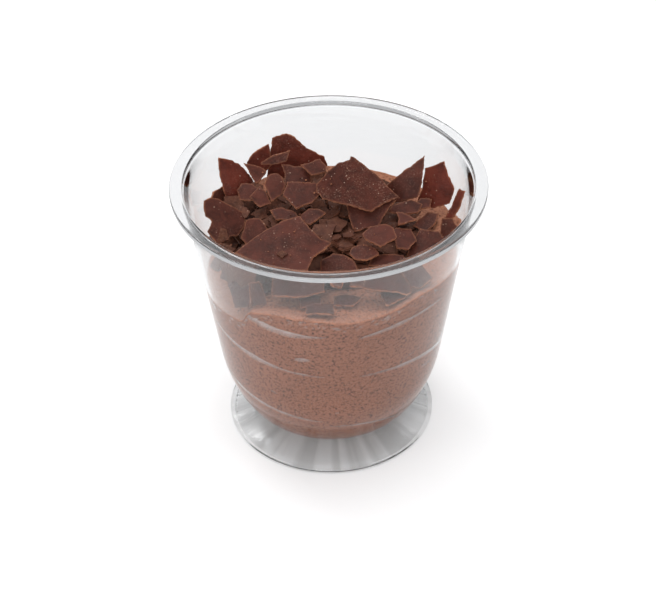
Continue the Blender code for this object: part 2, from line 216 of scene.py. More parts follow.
class ChocolateSettings(bpy.types.PropertyGroup):
    """The flakes and crumbs of dark chocolate."""

    colour: FloatVectorProperty(
        name="Colour", description="Main colour of the chocolate's face", subtype="COLOR",
        size=3, min=0, max=1, default=(0.078, 0.0205, 0.0130),
    )
    broken_and_lit_colour: FloatVectorProperty(
        name="Broken colour", description="Colour of the broken edges", subtype="COLOR",
        size=3, min=0, max=1, default=(0.42, 0.17, 0.09),
    )
    dust_colour: FloatVectorProperty(
        name="Dust colour", description="Colour of the fine dust on the faces", subtype="COLOR",
        size=3, min=0, max=1, default=(0.30, 0.17, 0.12),
    )
    speck_colour: FloatVectorProperty(
        name="Speck colour", description="Colour of the pale specks", subtype="COLOR",
        size=3, min=0, max=1, default=(0.55, 0.36, 0.27),
    )
    ragged: FloatProperty(
        name="Raggedness", description="How far the broken edges stray",
        subtype="DISTANCE", unit="LENGTH", min=0, max=0.002, default=0.00022,
    )
    grain: FloatProperty(
        name="Mesh size", description="Size of the flakes' mesh cells",
        subtype="DISTANCE", unit="LENGTH", min=0.0001, max=0.002, default=0.0002,
    )
    small_flakes: IntProperty(
        name="Small flakes", description="Number of small flakes in the heap",
        min=0, max=600, default=300,
    )
    crumbs: IntProperty(
        name="Crumbs", description="How many times a crumb is dropped, some of which miss the flakes",
        min=0, max=2000, default=260,
    )


class StageSettings(bpy.types.PropertyGroup):
    """The floor, the lights and the camera."""

    floor_size: FloatProperty(
        name="Floor size", description="Width of the floor",
        subtype="DISTANCE", unit="LENGTH", min=0.5, max=20, default=6.0,
    )
    floor_glow: FloatProperty(
        name="Floor glow", description="How much light the floor gives by itself",
        min=0, max=2, default=0.12,
    )
    light_power: FloatProperty(
        name="Light power", description="Power that the lights' shares are taken of",
        subtype="POWER", unit="POWER", min=0, max=1000, default=7.6,
    )
    lens: FloatProperty(
        name="Lens", description="Focal length of the camera",
        subtype="DISTANCE_CAMERA", min=10, max=300, default=99.9,
    )
    elevation: FloatProperty(
        name="Camera elevation", description="How far the camera looks down",
        subtype="ANGLE", unit="ROTATION", min=0, max=math.pi / 2, default=math.radians(38.62),
    )
    distance: FloatProperty(
        name="Camera distance", description="From the camera to the middle of the cup",
        subtype="DISTANCE", unit="LENGTH", min=0.1, max=5, default=0.4788,
    )


class DessertSettings(bpy.types.PropertyGroup):
    """Everything that a user would change."""

    cup: PointerProperty(type=CupSettings)
    mousse: PointerProperty(type=MousseSettings)
    chocolate: PointerProperty(type=ChocolateSettings)
    stage: PointerProperty(type=StageSettings)


# ---------------------------------------------------------------- mesh helpers


def new_object(name, bm, material, smooth_shade=True):
    """Make the bmesh, which is in mm, an object in metres."""
    bmesh.ops.scale(bm, vec=(MM, MM, MM), verts=bm.verts[:])
    mesh = bpy.data.meshes.new(name)
    bm.to_mesh(mesh)
    bm.free()
    if smooth_shade:
        mesh.shade_smooth()
    obj = bpy.data.objects.new(name, mesh)
    bpy.context.scene.collection.objects.link(obj)
    mesh.materials.append(material)
    return obj


def face_outwards(bm):
    """Turn every face of a closed shape outwards."""
    bmesh.ops.recalc_face_normals(bm, faces=bm.faces[:])
    if bm.calc_volume(signed=True) < 0:
        bmesh.ops.reverse_faces(bm, faces=bm.faces[:])


def turned(profile, sides):
    """A bmesh of a closed (radius, z) profile turned about Z, which it meets at two points."""
    bm = bmesh.new()
    verts = [bm.verts.new((r, 0, z)) for r, z in profile]
    edges = [bm.edges.new(pair) for pair in zip(verts, verts[1:] + verts[:1])]
    bmesh.ops.spin(
        bm, geom=verts + edges, cent=(0, 0, 0), axis=(0, 0, 1),
        angle=math.tau, steps=sides, use_merge=True,
    )
    bmesh.ops.remove_doubles(bm, verts=bm.verts[:], dist=0.001)
    on_axis = [edge for edge in bm.edges if not edge.link_faces]
    bmesh.ops.delete(bm, geom=on_axis, context="EDGES")
    face_outwards(bm)
    return bm


def subdivide(obj, levels):
    """Smooth the object by subdivision, alike in the view and in the render."""
    modifier = obj.modifiers.new("smooth", "SUBSURF")
    modifier.levels = levels
    modifier.render_levels = levels


# ---------------------------------------------------------------- materials


class Nodes:
    """Adds and joins the nodes of one material."""

    def __init__(self, name):
        self.material = bpy.data.materials.new(name)
        self.material.use_nodes = True
        self.tree = self.material.node_tree
        self.shader = self.tree.nodes["Principled BSDF"]
        self.output = self.tree.nodes["Material Output"]
        self.place = self.node("ShaderNodeTexCoord").outputs["Object"]

    def node(self, kind, **settings):
        """Add a node and set its plain settings."""
        node = self.tree.nodes.new(kind)
        for key, value in settings.items():
            setattr(node, key, value)
        return node

    def join(self, source, target):
        """Set an input to another node's output, or to a plain value."""
        if hasattr(source, "is_output"):
            self.tree.links.new(source, target)
        else:
            target.default_value = source

    def noise(self, scale, detail=3.0, roughness=0.5, distortion=0.0, stretch=None):
        """Cloudy noise over the object, stretched along its axes if asked."""
        node = self.node("ShaderNodeTexNoise")
        node.inputs["Scale"].default_value = scale
        node.inputs["Detail"].default_value = detail
        node.inputs["Roughness"].default_value = roughness
        node.inputs["Distortion"].default_value = distortion
        place = self.place
        if stretch:
            mapping = self.node("ShaderNodeMapping")
            mapping.inputs["Scale"].default_value = stretch
            self.join(place, mapping.inputs["Vector"])
            place = mapping.outputs["Vector"]
        self.join(place, node.inputs["Vector"])
        return node.outputs["Fac"]

    def cells(self, scale):
        """The distance to the nearest of many scattered points."""
        node = self.node("ShaderNodeTexVoronoi")
        node.inputs["Scale"].default_value = scale
        self.join(self.place, node.inputs["Vector"])
        return node.outputs["Distance"]

    def attribute(self, name):
        """A number stored on the vertices."""
        return self.node("ShaderNodeAttribute", attribute_name=name).outputs["Fac"]

    def spread(self, value, low, high, to_low=0.0, to_high=1.0):
        """Map the range low to high onto another range, clamped."""
        node = self.node("ShaderNodeMapRange")
        self.join(value, node.inputs["Value"])
        ends = {"From Min": low, "From Max": high, "To Min": to_low, "To Max": to_high}
        for key, number in ends.items():
            node.inputs[key].default_value = number
        return node.outputs["Result"]

    def math(self, operation, first, second=0.0):
        """Work out a number from one or two others."""
        node = self.node("ShaderNodeMath", operation=operation)
        self.join(first, node.inputs[0])
        self.join(second, node.inputs[1])
        return node.outputs["Value"]

    def mix(self, factor, first, second):
        """Mix two colours."""
        node = self.node("ShaderNodeMix", data_type="RGBA", clamp_factor=True)
        self.join(factor, node.inputs["Factor"])
        self.join(first if hasattr(first, "is_output") else (*first, 1), node.inputs["A"])
        self.join(second if hasattr(second, "is_output") else (*second, 1), node.inputs["B"])
        return node.outputs["Result"]

    def bump(self, height, strength, distance):
        """Fine relief from a height."""
        node = self.node("ShaderNodeBump")
        node.inputs["Strength"].default_value = strength
        node.inputs["Distance"].default_value = distance
        self.join(height, node.inputs["Height"])
        return node.outputs["Normal"]


def scaled(colour, factor, more=0.0):
    """A colour made lighter or darker."""
    return tuple(min(c * factor + more, 1) for c in colour)


# Where the plastic's parting line runs, and the heights between which its foot, with its grooves and
# painted shade, begins, in metres
SEAM_X = 0.0012
FOOT_FADE = (0.0055, 0.0040)
SHADOW_TINT = 0.88


def foot_spokes(nodes):
    """Noise that runs out from the axis, as the fine streaks of the moulded foot do; it shapes the
    foot's grooves and the streaks of its painted shade.
    """
    level = nodes.node("ShaderNodeVectorMath", operation="MULTIPLY")
    nodes.join(nodes.place, level.inputs[0])
    level.inputs[1].default_value = (1, 1, 0)
    bearing = nodes.node("ShaderNodeVectorMath", operation="NORMALIZE")
    nodes.join(level.outputs["Vector"], bearing.inputs[0])
    spokes = nodes.node("ShaderNodeTexNoise")
    spokes.inputs["Scale"].default_value = 6.0
    spokes.inputs["Detail"].default_value = 4.0
    nodes.join(bearing.outputs["Vector"], spokes.inputs["Vector"])
    return spokes.outputs["Fac"]


def let_shadows_through(nodes):
    """Let shadow rays pass the plastic, so that light reaches what it holds."""
    through = nodes.node("ShaderNodeBsdfTransparent")
    through.inputs["Color"].default_value = (SHADOW_TINT, SHADOW_TINT, SHADOW_TINT, 1)
    path = nodes.node("ShaderNodeLightPath")
    mixed = nodes.node("ShaderNodeMixShader")
    nodes.join(path.outputs["Is Shadow Ray"], mixed.inputs["Fac"])
    nodes.join(nodes.shader.outputs["BSDF"], mixed.inputs[1])
    nodes.join(through.outputs["BSDF"], mixed.inputs[2])
    nodes.join(mixed.outputs["Shader"], nodes.output.inputs["Surface"])


def clear_plastic(settings):
    """Clear polystyrene with a faint mould seam, handling marks, and a grooved foot darkened with
    streaky painted shade.
    """
    nodes = Nodes("clear_polystyrene")
    shader = nodes.shader
    shader.inputs["Transmission Weight"].default_value = settings.clearness
    shader.inputs["IOR"].default_value = settings.index
    marks = nodes.noise(90, detail=4)
    nodes.join(nodes.spread(marks, 0.45, 0.75, 0.0, 0.02), shader.inputs["Roughness"])
    place = nodes.node("ShaderNodeSeparateXYZ")
    nodes.join(nodes.place, place.inputs["Vector"])
    seam = nodes.math("ABSOLUTE", nodes.math("SUBTRACT", place.outputs["X"], SEAM_X))
    ridge = nodes.math("MULTIPLY", nodes.spread(seam, 0.0, settings.seam, 1.0, 0.0), 0.25)
    waves = nodes.math("MULTIPLY", nodes.noise(60, detail=1), 0.5)
    spokes = foot_spokes(nodes)
    # Painted shade: the foot's colour is darkened, in streaks along its grooves, for the shadow under
    # the bowl seen through it.
    low = nodes.spread(place.outputs["Z"], *FOOT_FADE)
    streaks = nodes.spread(spokes, 0.40, 0.58)
    foot = nodes.mix(streaks, scaled(settings.tint, 0.80), scaled(settings.tint, 0.98))
    nodes.join(nodes.mix(low, settings.tint, foot), shader.inputs["Base Color"])
    grooves = nodes.math("MULTIPLY", nodes.math("MULTIPLY", spokes, low), 16.0)
    height = nodes.math("ADD", nodes.math("ADD", ridge, waves), grooves)
    nodes.join(nodes.bump(height, 0.35, 0.0001), shader.inputs["Normal"])
    let_shadows_through(nodes)
    return nodes.material


def mousse_paint(settings):
    """Aerated mousse: fine dark pores, paler patches, painted reflection that makes the air gaps
    against the wall pale, and a painted highlight on its thin upper edge.
    """
    nodes = Nodes("aerated_mousse")
    shader = nodes.shader
    patches = nodes.noise(70, detail=3)
    paler = scaled(settings.colour, 1.10, 0.008)
    base = nodes.mix(nodes.spread(patches, 0.35, 0.68), settings.colour, paler)
    grain = nodes.noise(1500, detail=3, roughness=0.7)
    base = nodes.mix(nodes.spread(grain, 0.52, 0.33, 0.0, 0.85), base, settings.pore_colour)
    pores = nodes.cells(800)
    some = nodes.noise(420, detail=2)
    holes = nodes.math("MULTIPLY", nodes.spread(pores, 0.27, 0.14), nodes.spread(some, 0.52, 0.58))
    base = nodes.mix(holes, base, settings.pore_colour)
    # Painted highlight: the thin upper edge is made paler, for the light that catches it.
    base = nodes.mix(nodes.math("MULTIPLY", nodes.attribute("lip"), 0.3), base, settings.lip_highlight_colour)
    # Painted reflection: the real air gaps are painted pale, in streaks, for the light that the
    # plastic's inner face reflects there.
    streaks = nodes.noise(500, detail=3, stretch=(1, 1, 6))
    gap = nodes.math("MULTIPLY", nodes.attribute("gap"), nodes.spread(streaks, 0.30, 0.60, 0.55, 1.0))
    base = nodes.mix(gap, base, settings.gap_reflection_colour)
    nodes.join(base, shader.inputs["Base Color"])
    nodes.join(nodes.spread(grain, 0.3, 0.7, 0.75, 0.55), shader.inputs["Roughness"])
    shader.inputs["Specular IOR Level"].default_value = 0.25
    relief = nodes.math("SUBTRACT", grain, nodes.math("MULTIPLY", holes, 0.8))
    nodes.join(nodes.bump(relief, 0.5, 0.0003), shader.inputs["Normal"])
    return nodes.material


def chocolate_paint(name, settings, red=0.0, rough=0.0, shaded_tone=1.0):
    """Dark chocolate: mottled satin faces with pale specks and scuffs, tan broken edges that are
    partly their own colour and partly a painted highlight, a redder face as painted light shining
    through thin flakes, and a tone below 1 as painted shade.
    """
    nodes = Nodes(name)
    shader = nodes.shader
    # Painted shade: a tone below 1 darkens the whole paint.
    r, g, b = scaled(settings.colour, shaded_tone)
    # Painted light: red makes the face redder, for the light shining through thin flakes.
    face = (r * (1 + 0.45 * red), g * (1 + 0.05 * red), b * (1 - 0.05 * red))
    mottle = nodes.noise(330, detail=5, roughness=0.65, distortion=0.4)
    base = nodes.mix(nodes.spread(mottle, 0.36, 0.60), scaled(face, 0.55), face)
    patches = nodes.noise(95, detail=3, distortion=0.3)
    bloom = scaled(face, 1.45, 0.004)
    base = nodes.mix(nodes.spread(patches, 0.5, 0.72, 0.0, 0.75), base, bloom)
    grain = nodes.noise(2600, detail=3, roughness=0.65)
    dust = nodes.spread(grain, 0.54, 0.66, 0.0, 0.25 + 0.45 * rough)
    drift = nodes.spread(nodes.noise(120, detail=3), 0.42, 0.60)
    base = nodes.mix(nodes.math("MULTIPLY", dust, drift), base, settings.dust_colour)
    some = nodes.noise(500, detail=3)
    few = nodes.spread(some, 0.60 - 0.07 * rough, 0.64 - 0.07 * rough)
    specks = nodes.math("MULTIPLY", nodes.spread(nodes.cells(1250), 0.22, 0.12), few)
    base = nodes.mix(nodes.math("MULTIPLY", specks, 0.8), base, settings.speck_colour)
    # The broken edges are tan, partly their own colour and partly a painted highlight where they catch
    # the light.
    crumble = nodes.spread(nodes.noise(900, detail=3), 0.34, 0.58, 0.45, 1.0)
    edge = nodes.math("MULTIPLY", nodes.attribute("broken"), crumble)
    base = nodes.mix(edge, base, settings.broken_and_lit_colour)
    nodes.join(base, shader.inputs["Base Color"])
    satin = nodes.spread(mottle, 0.3, 0.7, 0.36 + 0.15 * rough, 0.50 + 0.15 * rough)
    nodes.join(satin, shader.inputs["Roughness"])
    shader.inputs["Specular IOR Level"].default_value = 0.12
    scratches = nodes.math("MULTIPLY", nodes.noise(800, detail=2, stretch=(1, 5, 3)), 0.6)
    relief = nodes.math("ADD", nodes.math("MULTIPLY", grain, 0.5 + 0.8 * rough), scratches)
    relief = nodes.math("ADD", relief, nodes.math("MULTIPLY", specks, 0.5))
    nodes.join(nodes.bump(relief, 0.45 + 0.45 * rough, 0.00025), shader.inputs["Normal"])
    return nodes.material


# ---------------------------------------------------------------- cup

# The (radius, z) points in mm of the flange, from the outside of the wall up, over and down its
# inside, of the bowl's floor, and of the foot's top, edge and underside
FLANGE = (
    (36.88, 73.25), (37.05, 73.5), (37.4, 73.6), (38.4, 73.62), (39.5, 73.62), (39.85, 73.64),
    (39.99, 73.74), (40.02, 74.0), (40.02, 74.35), (40.02, 74.7), (39.95, 74.9), (39.75, 75.0),
    (39.4, 75.02), (38.4, 75.02), (37.5, 75.02), (37.15, 75.0), (36.95, 74.92), (36.83, 74.75),
    (36.72, 74.45), (36.4, 73.5), (36.0, 72.2),
)
BOWL_FLOOR = ((9.0, 4.1), (0.0, 4.0))
FOOT_NECK = (18.6, 4.75)
FOOT_TOP = (
    (19.2, 4.3), (20.6, 3.7), (22.4, 2.95), (24.5, 2.1), (26.2, 1.6), (27.1, 1.45), (27.5, 1.4),
)
FOOT_EDGE = ((27.8, 1.2), (27.83, 0.5), (27.76, 0.08), (27.4, -0.03), (26.6, -0.03), (26.2, 0.05))
UNDERSIDE = (
    (25.8, 0.4), (24.3, 0.85), (22.8, 1.45), (20.4, 2.35), (17.0, 3.0), (9.0, 2.6), (0.0, 2.5),
)


def cup_profile():
    """The closed (radius, z) outline of the cup, from the foot's neck up the outside."""
    bowl = [(radius, z) for radius, z in BOWL_CURVE if radius > FOOT_NECK[0]]
    wall = [(wall_radius(z), z) for z in (WALL_FOOT_Z, 31, 40, 50, 60, 68, WALL_TOP_Z, 72.9)]
    inside = (70, 60, 50, 40, 31, WALL_FOOT_Z, 22.5, 18.0, 13.5, 9.6, 6.8, 5.2)
    foot = BOWL_FLOOR + UNDERSIDE[::-1] + FOOT_EDGE[::-1] + FOOT_TOP[::-1]
    return [FOOT_NECK, *bowl, *wall, *FLANGE, *((bowl_radius(z), z) for z in inside), *foot]


class DESSERT_OT_cup(bpy.types.Operator):
    """Turn the clear footed cup with its flanged rim."""

    bl_idname = "dessert.cup"
    bl_label = "Clear cup"

    def execute(self, context):
        settings = context.scene.dessert.cup
        cup = new_object("clear_cup", turned(cup_profile(), settings.sides), clear_plastic(settings))
        subdivide(cup, 2)
        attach(cup, "root")
        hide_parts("cup")
        return {"FINISHED"}


# ---------------------------------------------------------------- mousse

# Air gaps that the piped turns leave against the wall: from one bearing to another in degrees
# (-90 is the front), the heights at the start, the middle and the end in mm, the greatest
# half width in mm, and where along the gap it is widest.
GAPS = (
    (-132, -92, (53.9, 51.5, 51.4), 1.25, 0.25),
    (-79, -31, (50.0, 51.9, 51.5), 0.75, 0.4),
    (-161, -91, (40.6, 38.1, 36.4), 0.85, 0.35),
    (-77, -12, (35.9, 34.5, 29.6), 0.85, 0.62),
    (-58, -42, (36.4, 37.8, 39.0), 0.22, 0.5),
    (-160, -91, (22.9, 20.3, 18.4), 0.75, 0.30),
    (-93, -42, (16.3, 15.7, 12.2), 0.50, 0.55),
    (-107, -99, (42.2, 42.5, 42.5), 0.75, 0.5),
    (-88, -86, (22.5, 22.6, 22.7), 0.30, 0.5),
    (-122, -117, (27.6, 27.2, 27.0), 0.22, 0.5),
    (-39, -31, (29.4, 29.0, 28.5), 0.22, 0.5),
    (-62, -57, (22.4, 23.4, 24.4), 0.20, 0.5),
    (-20, 38, (50.5, 51.4, 50.2), 0.8, 0.6),
    (-28, 20, (32.8, 34.4, 36.0), 0.7, 0.3),
    (52, 118, (50.0, 51.2, 52.2), 0.9, 0.4),
    (40, 104, (36.8, 35.6, 36.4), 0.75, 0.5),
    (128, 178, (52.8, 50.2, 46.0), 0.6, 0.5),
    (122, 190, (36.9, 35.2, 33.6), 0.8, 0.6),
    (-30, 46, (15.6, 17.2, 19.0), 0.6, 0.4),
    (70, 150, (19.8, 20.8, 22.0), 0.7, 0.5),
    (158, 206, (21.6, 22.4, 22.0), 0.6, 0.4),
)


def air_gap(angle, z):
    """How open the gap between the mousse and the wall is here, from 0 to 1."""
    degrees = math.degrees(angle)
    most = 0.0
    for start, end, heights, width, widest in GAPS:
        for turn in (-360, 0, 360):
            share = (degrees + turn - start) / (end - start)
            if not 0 < share < 1:
                continue
            first, middle, last = heights
            height = (
                first * (1 - share) * (1 - 2 * share) + 4 * middle * share * (1 - share)
                + last * share * (2 * share - 1)
            )
            if share < widest:
                bulge = share / (2 * widest)
            else:
                bulge = 0.5 + (share - widest) / (2 * (1 - widest))
            half = width * max(math.sin(math.pi * bulge), 0) ** 0.8
            half *= 0.8 + 0.5 * noise.noise(Vector((degrees * 0.11, height * 0.2, width)))
            off = abs(z - height) / max(half, 0.02)
            most = max(most, smooth(1.25 - off) if half > 0.05 else 0)
    return most


def pitting(x, y, z, size):
    """Uneven bubbles of about this size, in mm, from -1 to 1."""
    return noise.fractal(Vector((x, y, z)) / size, 0.9, 2.2, 3)


# Rows of vertices up the mousse's side, round its edge and in over its top, to its axis
SIDE_ROWS = 190
ROUND_ROWS = 5
TOP_ROWS = 49
# In mm: the rounding where the side turns into the top, the depths of the air gaps and of the
# pits near the lip, and how far down from the lip the pits and its painted highlight reach
EDGE_ROUNDING = 1.1
GAP_DEPTH = 0.9
PIT_DEPTH = 0.5
PITTED = 5.5
LIP_HIGHLIGHT_REACH = 1.6


def side_point(angle, z, lip, into):
    """A point of the side: its place, how open the gap is there and how near the lip it is."""
    near_lip = smooth(1 - (lip - z) / PITTED)
    radius = bowl_radius(z) + into
    rough = pitting(radius * math.cos(angle), radius * math.sin(angle), z, 1.1)
    opened = max(air_gap(angle, z), 0.75 * near_lip * smooth((rough - 0.30) / 0.25))
    pit = near_lip * smooth((-rough - 0.1) / 0.4)
    radius -= (into + GAP_DEPTH) * opened + (into + PIT_DEPTH) * pit
    place = Vector((radius * math.cos(angle), radius * math.sin(angle), z))
    return place, opened, smooth(1 - (lip - z) / LIP_HIGHLIGHT_REACH)


def top_point(angle, inset, drop, lip, into):
    """A point of the top, this far in from the wall and this far below the surface."""
    radius = max(bowl_radius(lip) + into - inset, 0)
    x, y = radius * math.cos(angle), radius * math.sin(angle)
    fade = smooth((inset - 0.4) / 2.5)
    top = lerp(lip, mousse_top(x, y), fade)
    top += fade * (0.28 * pitting(x, y, 0, 3.2) + 0.10 * pitting(x, y, 7, 0.9))
    return Vector((x, y, top - drop))


def mousse_point(angle, row, into):
    """The place of a vertex, how open the gap is there and how near the lip it is."""
    lip = lip_height(angle)
    ragged = 0.35 * noise.noise(Vector((angle * 9, 4.0, 0)))
    ragged += 0.25 * noise.noise(Vector((angle * 31, 9.0, 0)))
    lip += ragged
    if row == 0:
        return Vector((0, 0, MOUSSE_FLOOR_Z)), 0.0, 0.0
    if row <= SIDE_ROWS:
        share = (row - 1) / (SIDE_ROWS - 1)
        return side_point(angle, lerp(MOUSSE_FLOOR_Z + 0.15, lip - EDGE_ROUNDING, share), lip, into)
    if row <= SIDE_ROWS + ROUND_ROWS:
        turn = (row - SIDE_ROWS) / (ROUND_ROWS + 1) * math.pi / 2
        inset = EDGE_ROUNDING * (1 - math.cos(turn))
        drop = EDGE_ROUNDING * (1 - math.sin(turn))
        return top_point(angle, inset, drop, lip, into), 0.0, 1.0
    share = (row - SIDE_ROWS - ROUND_ROWS) / TOP_ROWS
    inset = EDGE_ROUNDING + (bowl_radius(lip) + into - EDGE_ROUNDING) * share ** 1.15
    edge = smooth(1 - (inset - EDGE_ROUNDING) / 2.0)
    return top_point(angle, inset, 0.0, lip, into), 0.0, edge


class DESSERT_OT_mousse(bpy.types.Operator):
    """Fill the cup with piped mousse, which reaches just into the wall."""

    bl_idname = "dessert.mousse"
    bl_label = "Mousse"

    def execute(self, context):
        settings = context.scene.dessert.mousse
        into = settings.into_wall / MM
        bm = bmesh.new()
        # Each vertex starts with its row as its height, and is then put in its place
        rows = 1 + SIDE_ROWS + ROUND_ROWS + TOP_ROWS
        verts = [bm.verts.new((10 + row / rows, 0, row)) for row in range(rows)]
        edges = [bm.edges.new(pair) for pair in zip(verts, verts[1:])]
        bmesh.ops.spin(
            bm, geom=verts + edges, cent=(0, 0, 0), axis=(0, 0, 1),
            angle=math.tau, steps=settings.sides, use_merge=True,
        )
        gap = bm.verts.layers.float.new("gap")
        lip = bm.verts.layers.float.new("lip")
        for vert in bm.verts:
            angle = math.atan2(vert.co.y, vert.co.x)
            vert.co, vert[gap], vert[lip] = mousse_point(angle, round(vert.co.z), into)
        bmesh.ops.remove_doubles(bm, verts=bm.verts[:], dist=0.01)
        face_outwards(bm)
        mousse = new_object("piped_mousse", bm, mousse_paint(settings))
        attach(mousse, "root")
        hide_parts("mousse")
        return {"FINISHED"}


# ---------------------------------------------------------------- large flakes


def shard_names():
    """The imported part's large flakes, in order."""
    return sorted(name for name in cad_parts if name.startswith("shard_"))


def merged_copy(node):
    """A closed bmesh, in mm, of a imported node, whose own mesh is loose triangles."""
    bm = bmesh.new()
    bm.from_mesh(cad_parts[node].data)
    bmesh.ops.scale(bm, vec=(1 / MM, 1 / MM, 1 / MM), verts=bm.verts[:])
    bmesh.ops.remove_doubles(bm, verts=bm.verts[:], dist=0.001)
    return bm


def flat_normal(bm):
    """The direction across the flake's thickness."""
    spread = np.zeros((3, 3))
    for face in bm.faces:
        normal = np.array(face.normal)
        spread += face.calc_area() * np.outer(normal, normal)
    _, vectors = np.linalg.eigh(spread)
    direction = Vector(vectors[:, 2])
    return direction if direction.z > 0 else -direction


def keep_largest(bm):
    """Delete the stray bits that a thin point can leave beside the main piece."""
    left = set(bm.verts)
    pieces = []
    while left:
        piece = [left.pop()]
        for vert in piece:
            near = {edge.other_vert(vert) for edge in vert.link_edges} & left
            left -= near
            piece.extend(near)
        pieces.append(piece)
    pieces.sort(key=len)
    strays = [vert for piece in pieces[:-1] for vert in piece]
    bmesh.ops.delete(bm, geom=strays, context="VERTS")


def even_mesh(bm, cell):
    """The same shape as an even fine mesh, in mm."""
    mesh = bpy.data.meshes.new("even")
    bm.to_mesh(mesh)
    bm.free()
    obj = bpy.data.objects.new("even", mesh)
    bpy.context.scene.collection.objects.link(obj)
    remesh = obj.modifiers.new("remesh", "REMESH")
    remesh.mode = "VOXEL"
    remesh.voxel_size = cell
    graph = bpy.context.evaluated_depsgraph_get()
    even = bpy.data.meshes.new_from_object(obj.evaluated_get(graph))
    bpy.data.objects.remove(obj)
    bpy.data.meshes.remove(mesh)
    result = bmesh.new()
    result.from_mesh(even)
    bpy.data.meshes.remove(even)
    keep_largest(result)
    return result


# How much the fine mesh is thinned on each side, and how far in from its edge a flake is ragged
# and shows its broken colour, partly a painted highlight, in mm
THINNED = 0.12
RAGGED_DEPTH = 1.8
BROKEN_DEPTH = 0.5


def break_edges(bm, across, reach, rough):
    """Ragged broken edges and a slightly uneven face, and how broken each vertex is."""
    bm.normal_update()
    for vert in bm.verts:
        vert.co -= vert.normal * THINNED
    facing = [abs(vert.normal.dot(across)) for vert in bm.verts]
    rim = [index for index, value in enumerate(facing) if value < 0.45]
    tree = KDTree(len(rim))
    outward = {}
    bm.verts.ensure_lookup_table()
    for index in rim:
        vert = bm.verts[index]
        flat = vert.normal - across * vert.normal.dot(across)
        outward[index] = flat.normalized() if flat.length > 1e-4 else Vector((0, 0, 0))
        tree.insert(vert.co, index)
    tree.balance()
    broken = bm.verts.layers.float.new("broken")
    moves = []
    for vert, value in zip(bm.verts, facing):
        _, index, distance = tree.find(vert.co)
        place = bm.verts[index].co
        stray = (
            1.1 * noise.noise(place / 2.1) + 0.7 * noise.noise(place / 0.95 + Vector((5, 0, 0)))
            + 0.35 * noise.noise(place / 0.45)
        )
        near = max(1 - distance / RAGGED_DEPTH, 0) ** 2
        move = outward[index] * (stray * reach * near)
        grain = (0.02 + 0.10 * rough) * noise.fractal(vert.co / 0.9, 1.0, 2.1, 2)
        wave = 0.07 * noise.noise(vert.co / 3.5) + grain
        moves.append(move + across * wave)
        on_edge = smooth((0.80 - value) / 0.35)
        vert[broken] = max(on_edge, 0.35 * smooth(1 - distance / BROKEN_DEPTH))
    for vert, move in zip(bm.verts, moves):
        vert.co += move


class DESSERT_OT_large_flakes(bpy.types.Operator):
    """Break each large flake's edges and give its faces their grain."""

    bl_idname = "dessert.large_flakes"
    bl_label = "Large flakes"

    def execute(self, context):
        settings = context.scene.dessert.chocolate
        plain = chocolate_paint("dark_chocolate", settings)
        # The thin upright flakes are painted redder, for the light shining through them.
        thin = chocolate_paint("dark_chocolate_backlit", settings, red=1.0)
        grainy = chocolate_paint("dark_chocolate_grainy", settings, rough=1.0)
        for node in shard_names():
            rough, paint = 0.15, plain
            if node in BACKLIT_FLAKES:
                paint = thin
            if node in ROUGH_FLAKES:
                rough, paint = 1.0, grainy
            bm = merged_copy(node)
            across = flat_normal(bm)
            bm = even_mesh(bm, settings.grain / MM)
            break_edges(bm, across, settings.ragged / MM, rough)
            face_outwards(bm)
            flake = new_object("flake_" + node[len("shard_"):], bm, paint)
            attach(flake, "root")
            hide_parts(node)
        return {"FINISHED"}


# ---------------------------------------------------------------- heap of small flakes

# In mm: where the heap ends at the front, short of the wall, how far out its flakes lie, how far
# the core is sunk at most, and the widths of the flakes
FRONT_OF_HEAP = -19.5
HEAP_RADIUS = 28.0
CORE_SINK = 1.8
FLAKE_WIDTHS = (3.5, 5.0, 6.0, 7.0, 8.0)
MOST_TRIES = 8000
# How much of the broken colour, partly a painted highlight, the small flakes and the core show
SMALL_BROKEN = 0.16
CORE_BROKEN = 0.05


def paint_broken(bm, share):
    """Store how broken the whole piece is."""
    layer = bm.verts.layers.float.new("broken")
    for vert in bm.verts:
        vert[layer] = share


def small_flake(rng, width, thickness):
    """A small broken flake about its own centre, as a bmesh in mm."""
    bm = bmesh.new()
    corners = rng.choice((4, 5, 5, 6))
    bmesh.ops.create_circle(bm, cap_ends=True, radius=width / 2, segments=corners)
    stretch = rng.uniform(0.55, 1.0)
    for vert in bm.verts:
        vert.co.x *= rng.uniform(0.65, 1.15)
        vert.co.y *= rng.uniform(0.65, 1.15) * stretch
    bmesh.ops.subdivide_edges(bm, edges=bm.edges[:], cuts=2)
    for vert in bm.verts:
        vert.co += Vector((rng.uniform(-1, 1), rng.uniform(-1, 1), 0)) * 0.035 * width
    bend = rng.uniform(-0.3, 0.5) / max(width, 3)
    bmesh.ops.triangulate(bm, faces=bm.faces[:])
    for vert in bm.verts:
        vert.co.z = bend * vert.co.x ** 2 * 0.3
    bmesh.ops.solidify(bm, geom=bm.faces[:], thickness=thickness)
    face_outwards(bm)
    paint_broken(bm, SMALL_BROKEN)
    return bm


def append(target, bm, matrix):
    """Add a bmesh to another, placed by the matrix, and free it."""
    bmesh.ops.transform(bm, matrix=matrix, verts=bm.verts[:])
    mesh = bpy.data.meshes.new("part")
    bm.to_mesh(mesh)
    bm.free()
    target.from_mesh(mesh)
    bpy.data.meshes.remove(mesh)


def packed_tree(names):
    """One BVH tree, in mm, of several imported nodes."""
    bm = bmesh.new()
    for name in names:
        bm.from_mesh(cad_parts[name].data)
    bmesh.ops.scale(bm, vec=(1 / MM, 1 / MM, 1 / MM), verts=bm.verts[:])
    tree = BVHTree.FromBMesh(bm)
    bm.free()
    return tree


